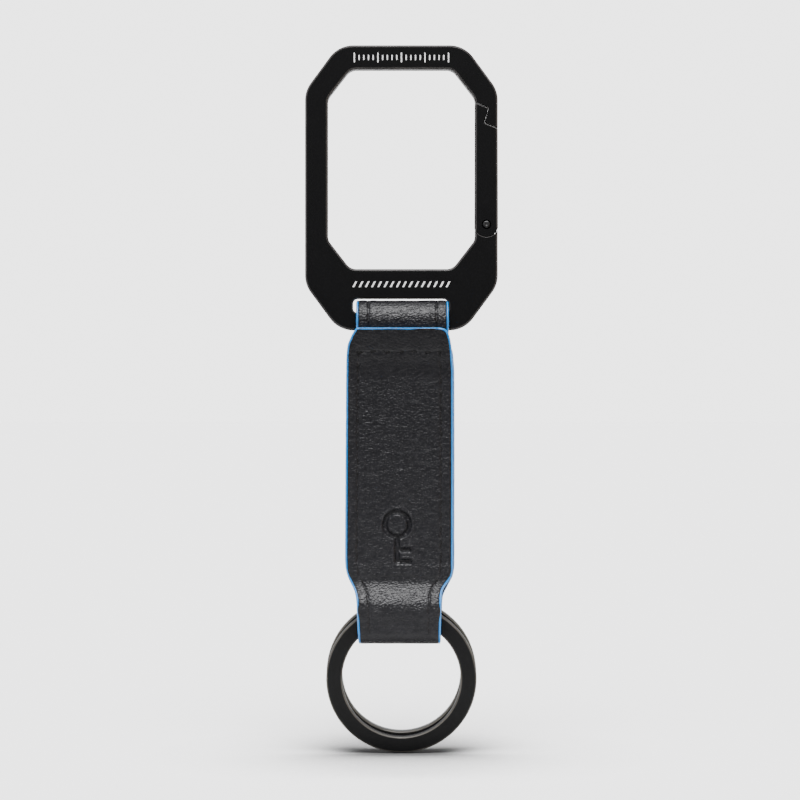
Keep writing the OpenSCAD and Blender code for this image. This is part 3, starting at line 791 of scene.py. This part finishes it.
def pebble_group():
    """Leather grain in strip millimetres: pebbles, fine pores and short broken creases."""
    tree, into, out = shader_group(
        "leather_pebble", [("Place", "NodeSocketVector", None)],
        [("Height", "NodeSocketFloat"), ("Pores", "NodeSocketFloat"),
         ("Clouds", "NodeSocketFloat")])
    warp = node(tree, "ShaderNodeTexNoise", {"Vector": into.outputs["Place"], "Scale": 0.8,
                "Detail": 2.0})
    push = node(tree, "ShaderNodeVectorMath", {0: warp.outputs["Color"], "Scale": 0.9},
                operation="SCALE")
    moved = node(tree, "ShaderNodeVectorMath", {0: into.outputs["Place"], 1: push.outputs[0]},
                 operation="ADD")
    pebbles = node(tree, "ShaderNodeTexVoronoi", {"Vector": moved.outputs[0], "Scale": 2.0,
                   "Smoothness": 0.5}, feature="SMOOTH_F1")
    creases = node(tree, "ShaderNodeTexVoronoi", {"Vector": moved.outputs[0], "Scale": 1.15},
                   feature="DISTANCE_TO_EDGE")
    line = node(tree, "ShaderNodeMapRange", {"Value": creases.outputs["Distance"], 1: 0.0,
                2: 0.09, 3: 1.0, 4: 0.0}, interpolation_type="SMOOTHSTEP")
    patch = node(tree, "ShaderNodeTexNoise", {"Vector": into.outputs["Place"], "Scale": 0.55,
                 "Detail": 3.0})
    shown = node(tree, "ShaderNodeMapRange", {"Value": patch.outputs["Fac"], 1: 0.46, 2: 0.62})
    broken = node(tree, "ShaderNodeMath", {0: line.outputs[0], 1: shown.outputs[0]},
                  operation="MULTIPLY")
    pores = node(tree, "ShaderNodeTexNoise", {"Vector": into.outputs["Place"], "Scale": 3.4,
                 "Detail": 1.0, "Roughness": 0.5})
    fine = node(tree, "ShaderNodeMath", {0: pores.outputs["Fac"], 1: 0.22},
                operation="MULTIPLY")
    base = node(tree, "ShaderNodeMath", {0: pebbles.outputs["Distance"], 1: -1.15,
                2: fine.outputs[0]}, operation="MULTIPLY_ADD")
    height = node(tree, "ShaderNodeMath", {0: broken.outputs[0], 1: -0.16,
                  2: base.outputs[0]}, operation="MULTIPLY_ADD")
    tree.links.new(height.outputs[0], out.inputs["Height"])
    tree.links.new(pores.outputs["Fac"], out.inputs["Pores"])
    tree.links.new(patch.outputs["Fac"], out.inputs["Clouds"])
    return tree


pebble = pebble_group()


def leather_finish(name, dark, light, rough, bump, sheen):
    """Dyed leather: two close tones, uneven gloss, and the shared grain."""
    made, tree, shader = material(name, rough[0], 0.0, sheen)
    place = node(tree, "ShaderNodeUVMap", uv_map="strip")
    turn = node(tree, "ShaderNodeMapping", {"Vector": place.outputs[0],
                "Scale": (200.0, 270.0, 200.0)})
    group = node(tree, "ShaderNodeGroup", node_tree=pebble)
    tree.links.new(turn.outputs[0], group.inputs["Place"])
    tone = node(tree, "ShaderNodeMix", {"Factor": group.outputs["Clouds"], "A": (*dark, 1),
                "B": (*light, 1)}, data_type="RGBA")
    gloss = node(tree, "ShaderNodeMapRange", {"Value": group.outputs["Pores"], 1: 0.3, 2: 0.7,
                 3: rough[0], 4: rough[1]})
    relief_node = node(tree, "ShaderNodeBump", {"Height": group.outputs["Height"],
                       "Strength": bump, "Distance": 0.00014})
    tree.links.new(tone.outputs["Result"], shader.inputs["Base Color"])
    tree.links.new(gloss.outputs[0], shader.inputs["Roughness"])
    tree.links.new(relief_node.outputs[0], shader.inputs["Normal"])
    return made


grain_leather = leather_finish("grain_leather", (0.003, 0.003, 0.0038),
                               (0.006, 0.006, 0.0076), (0.34, 0.48), 0.78, 0.26)
leather.data.materials.append(grain_leather)
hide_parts("outer_leather_front", "outer_leather_back", "outer_leather_loop")
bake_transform(leather)

# ---- Lining and board ----
# A thinner, smooth black lining is bonded to the strip's whole inner side, and a board of
# bonded leather fibre keeps the panels flat below the tail.
lining = leather_sheet("lining_strip", 0.0, lining_t - 0.01, lambda z, part:
                       0.35 if part in ("fold", "strap") or z < -106 else 1.1,
                       [0, 0.3, 1.2], 8, False)
lining_leather = leather_finish("lining_leather", (0.004, 0.004, 0.0042),
                                (0.006, 0.006, 0.0064), (0.62, 0.75), 0.2, 0.2)
lining.data.materials.append(lining_leather)
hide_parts("lining_front", "lining_back", "lining_loop")
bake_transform(lining)
fibre_board = mottled("fibre_board", 0.85, 0.2, "ShaderNodeTexNoise",
                      {"Scale": 1500.0, "Detail": 6.0, "Roughness": 0.7},
                      (0.10, 0.06, 0.035), (0.3, 0.2, 0.13), (0.5, 0.0001))
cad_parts["stiffener_board"].data.materials.clear()
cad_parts["stiffener_board"].data.materials.append(fibre_board)

# ---- Painted edge ----
# Several coats of blue edge paint close the leather and lining all the way round. The
# bead is rounded, stands a little proud, and laps over both faces.
bead = [(-0.27, 1.44), (-0.16, 1.49), (-0.02, 1.47), (0.1, 1.36), (0.17, 1.12), (0.19, 0.75),
        (0.17, 0.38), (0.1, 0.14), (-0.02, 0.03), (-0.16, 0.01), (-0.27, 0.06)]


def bead_line():
    """The strip's outline as (inner point, outer direction), once round, as a ring."""
    rows = stations(strip_path(), lambda z, part:
                    0.12 if part == "front" and z > -57 else 0.22 if part != "back" else 0.4)
    sides = ([], [])
    for y, z, ny, nz, part, _ in rows:
        for side, x in zip(sides, edges_at(z, part)):
            side.append((Vector((x, y, z)), Vector((0, ny, nz))))
    y, z, ny, nz, part, _ = rows[0]
    a, b = edges_at(z, part)
    lip = [(Vector((lerp(a, b, k / 60), y, z)), Vector((0, ny, nz))) for k in range(1, 60)]
    y, z, ny, nz, part, _ = rows[-1]
    a, b = edges_at(z, part)
    end = [(Vector((lerp(b, a, k / 20), y, z)), Vector((0, ny, nz))) for k in range(1, 20)]
    return sides[0][::-1] + lip + sides[1] + end


def join_rings(bm, rings):
    """Faces between each ring of points and the next."""
    for ra, rb in zip(rings, rings[1:]):
        for k in range(len(ra)):
            j = (k + 1) % len(ra)
            bm.faces.new((ra[k], ra[j], rb[j], rb[k]))


bm = bmesh.new()
line = bead_line()
rings = []
for i, (p, n) in enumerate(line):
    ahead, behind = line[(i + 2) % len(line)][0], line[i - 2][0]
    away = (ahead - behind).cross(n).normalized()
    if i == 0:
        sense = 1 if away.x < 0 else -1
    wobble = 0.03 * noise.noise((p.x / 1.5, p.y / 1.5, p.z / 1.5))
    rings.append([bm.verts.new((p + away * sense * (a + wobble * (a > -0.2)) + n * b) * MM)
                  for a, b in bead])
join_rings(bm, rings + rings[:1])
painted_edge = finished("painted_edge", bm, math.radians(70))
edge_paint = mottled("edge_paint", 0.38, 0.5, "ShaderNodeTexNoise",
                     {"Scale": 700.0, "Detail": 4.0}, (0.0015, 0.11, 0.33),
                     (0.003, 0.19, 0.52), (0.3, 0.0001))
painted_edge.data.materials.append(edge_paint)
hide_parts("edge_paint_front", "edge_paint_back", "edge_paint_loop")
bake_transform(painted_edge)

# ---- Stitching ----
# Black bonded thread, lock-stitched 2.4 mm in from the edges on both faces, with a cross
# row under the lip and a row each side of the strap. Each stitch sinks into the leather.
thread = mottled("thread", 0.55, 0.22, "ShaderNodeTexWave",
                 {"Scale": 1400.0, "Distortion": 2.0}, (0.0007, 0.0007, 0.0008),
                 (0.003, 0.003, 0.0032), (0.6, 0.00006), bands_direction="DIAGONAL")


def thread_stitch(length, thick):
    """One stitch along X, bowed so that both ends dive into the leather."""
    shape = bmesh.new()
    rings = []
    for i in range(9):
        t = i / 8 * 2 - 1
        x, z = t * length / 2, 0.14 * (1 - t * t) - 0.2 * abs(t) ** 5
        r = thick / 2 * max(0.25, math.sqrt(1 - 0.8 * t ** 6))
        rings.append([shape.verts.new((x * MM, r * math.cos(a + t) * MM,
                                       (z + r * 0.8 * math.sin(a + t)) * MM))
                      for a in [k * math.pi / 3 for k in range(6)]])
    join_rings(shape, rings)
    shape.faces.new(rings[0][::-1])
    shape.faces.new(rings[-1])
    return finished("stitch", shape, math.radians(60))


sunk, seam_foot = 0.2, -119.8


def seam(high, on_part, side):
    """A sewing line at the stitch distance from one edge, sunk into the grain side."""
    line = []
    for y, z, ny, nz, part, _ in stations(strip_path(), lambda z, part: 0.5):
        if part == on_part and seam_foot < z < high:
            left, right = edges_at(z, part)
            x = left + stitch_in if side < 0 else right - stitch_in
            d = strip_t - sunk
            line.append(((x, y + ny * d, z + nz * d), (0, ny, nz)))
    return line


sides = [seam(cross_z - 0.4, "front", k) for k in (-1, 1)]
sides += [seam(-62.0, "back", k) for k in (-1, 1)]
side_stitches = repeated("side_stitches", sides, thread_stitch(1.95, 0.3), thread,
                         pitch=0.00275, tilt=0.09, stretch=0.14, seed=5)
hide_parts("panel_stitches", "loop_stitches")
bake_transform(side_stitches)
front_y = tail_face(cross_z) - strip_t - glue - strip_t + sunk
back_y = lerp(arch_r, stack_y + strip_t / 2 + glue, closing(cross_z)) + strip_t - sunk
cross_x = [-8.9 + k * 0.6 for k in range(30)]
cross = [[((x, front_y, cross_z + 0.12 * math.sin(x * 0.9)), (0, -1, 0)) for x in cross_x],
         [((8.4 - k * 0.6, back_y, cross_z), (0, 1, 0)) for k in range(29)]]
cross_stitches = repeated("cross_row", cross, thread_stitch(1.7, 0.28), thread,
                          pitch=0.00265, tilt=0.12, stretch=0.2, seed=8)
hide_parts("cross_stitches")
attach(cross_stitches, "pouch")
arch = []
for x in (strap_left + stitch_in, strap_right - stitch_in):
    d = arch_r + strip_t - sunk
    arch.append([((x, -d * math.cos(a), bar_z + d * math.sin(a)), (0, -math.cos(a), math.sin(a)))
                 for a in map(math.radians, range(4, 182, 3))])
strap_stitches = repeated("strap_row", arch, thread_stitch(1.8, 0.28), thread,
                          pitch=0.00275, tilt=0.1, stretch=0.15, seed=11)
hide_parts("strap_stitches")
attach(strap_stitches, "pouch")

# ---- Split ring ----
# Two flat coils of black-coated spring steel, joined by a short crossing. The edges are coined
# to a polished chamfer with a painted highlight, and the coils don't lie quite true to each
# other.
ring_r, hole_r, coil_t, coil_gap = 16.0, 12.6, 2.1, 0.1
lean = math.radians(6)
ring_axis = Vector((0, -math.cos(lean), -math.sin(lean)))
ring_mid = Vector((0, 0.322, -129.425))
ring_up = Vector((0, -math.sin(lean), math.cos(lean)))
rear_rise = 0.68
section = [(hole_r, -0.76), (hole_r + 0.05, -0.87), (hole_r + 0.25, -1.03),
           (hole_r + 0.36, -1.05), (ring_r - 0.36, -1.05), (ring_r - 0.25, -1.03),
           (ring_r - 0.05, -0.87), (ring_r, -0.76), (ring_r, 0.76), (ring_r - 0.05, 0.87),
           (ring_r - 0.25, 1.03), (ring_r - 0.36, 1.05), (hole_r + 0.36, 1.05),
           (hole_r + 0.25, 1.03), (hole_r + 0.05, 0.87), (hole_r, 0.76)]
# Chamfer vertices marked for the painted highlight in the rim colour.
chamfer_highlight = (0, 1, 1, 0) * 4
bm = bmesh.new()
mark = bm.verts.layers.float.new("edge")
rings = []
first_angle, whole_run, cross_at, cross_run = 90, 690, 330, 30
for run in range(0, whole_run + 1, 2):
    angle = math.radians(first_angle - run)
    across = smooth((run - cross_at) / cross_run)
    height = lerp(coil_t / 2 + coil_gap / 2, -coil_t / 2 - coil_gap / 2, across)
    ends = min(run, whole_run - run)
    slim = 1 - 0.14 * math.exp(-ends / 1.2)
    ring = []
    for (r, h), shine in zip(section, chamfer_highlight):
        co = (ring_mid + ring_axis * (height + h * slim)
              + Vector((1, 0, 0)) * (r * math.cos(angle))
              + ring_up * (r * math.sin(angle) + rear_rise * across))
        v = bm.verts.new(co * MM)
        v[mark] = shine
        ring.append(v)
    rings.append(ring)
join_rings(bm, rings)
bm.faces.new(rings[0])
bm.faces.new(rings[-1][::-1])
split_ring = finished("split_ring", bm, math.radians(26))
# The warm light rim colour is a painted highlight on the marked chamfers.
black_steel = metal_finish("black_steel", (0.0025, 0.0025, 0.0026), (0.0045, 0.0044, 0.0045),
                           5000.0, 0.08, 0.0, 0.12, (0.06, 0.055, 0.048))
split_ring.data.materials.append(black_steel)
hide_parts("key_ring")
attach(split_ring, "key_ring")

# ---- Stage ----
# A pale paper floor just under the ring, which darkens where the ring shades it, an even
# studio surround with soft round lights, and a camera straight in front of the organiser.
floor_r, floor_back, floor_gap = 4.0, 3.92, 0.0002
shade_reach, shade_power, shade_floor, paper_tone = 0.04, 5.0, 0.1, 0.9
bm = bmesh.new()
bmesh.ops.create_circle(bm, cap_ends=True, segments=96, radius=floor_r)
floor = finished("floor", bm)
floor.location = (0, floor_back, cad_lo.z - floor_gap)
pale, tree, shader = material("pale_floor", 0.9, 0.0, 0.0)
near = node(tree, "ShaderNodeAmbientOcclusion", {"Distance": shade_reach}, samples=16)
dim = node(tree, "ShaderNodeMath", {0: near.outputs["AO"], 1: shade_power}, operation="POWER")
hush = node(tree, "ShaderNodeMath", {0: dim.outputs[0], 1: shade_floor}, operation="MAXIMUM")
paper = node(tree, "ShaderNodeMath", {0: hush.outputs[0], 1: paper_tone},
             operation="MULTIPLY")
tree.links.new(paper.outputs[0], shader.inputs["Base Color"])
floor.data.materials.append(pale)
world = bpy.data.worlds.new("studio")
bpy.context.scene.world = world
world.use_nodes = True
tree = world.node_tree
tree.nodes.clear()
aim = node(tree, "ShaderNodeTexCoord")


def soft_light(direction, near, far, colour):
    """A round patch of light in the surround, full within near degrees, none past far."""
    d = Vector(direction).normalized()
    toward = node(tree, "ShaderNodeVectorMath", {0: aim.outputs["Generated"], 1: d},
                  operation="DOT_PRODUCT")
    fall = node(tree, "ShaderNodeMapRange", {"Value": toward.outputs["Value"],
                1: math.cos(math.radians(far)), 2: math.cos(math.radians(near)), 3: 0.0,
                4: 1.0}, interpolation_type="SMOOTHSTEP")
    return node(tree, "ShaderNodeVectorMath", {0: fall.outputs[0], 1: colour},
                operation="MULTIPLY")


lights = [soft_light((0, -0.46, 0.9), 1, 29, (28.0, 28.0, 28.2)),
          soft_light((0, 1, 0.1), 25, 62, (4.2, 4.2, 4.2)),
          soft_light((-1, -0.35, 0.1), 10, 40, (1.4, 1.4, 1.5)),
          soft_light((1, -0.2, -0.1), 8, 35, (1.5, 0.95, 0.45)),
          soft_light((0, -1, 0), 20, 90, (0.29, 0.29, 0.3))]
total = lights[0]
for light in lights[1:]:
    total = node(tree, "ShaderNodeVectorMath", {0: total.outputs[0], 1: light.outputs[0]},
                 operation="ADD")
surround = node(tree, "ShaderNodeBackground", {"Color": total.outputs[0], "Strength": 1.0})
wall_light, view_angle = 3.4, 18.57
wall = node(tree, "ShaderNodeBackground", {"Color": (1, 1, 1, 1), "Strength": wall_light})
seen = node(tree, "ShaderNodeLightPath")
both = node(tree, "ShaderNodeMixShader", {0: seen.outputs["Is Camera Ray"],
            1: surround.outputs[0], 2: wall.outputs[0]})
sky = node(tree, "ShaderNodeOutputWorld")
tree.links.new(both.outputs[0], sky.inputs["Surface"])
camera = bpy.data.objects.new("camera", bpy.data.cameras.new("camera"))
bpy.context.collection.objects.link(camera)
camera.location = (-0.0003, -0.52175, -0.07035)
camera.rotation_euler = (math.radians(90), 0, 0)
camera.data.lens = 18 / math.tan(math.radians(view_angle / 2))
camera.data.clip_start = 0.01
bpy.context.scene.camera = camera
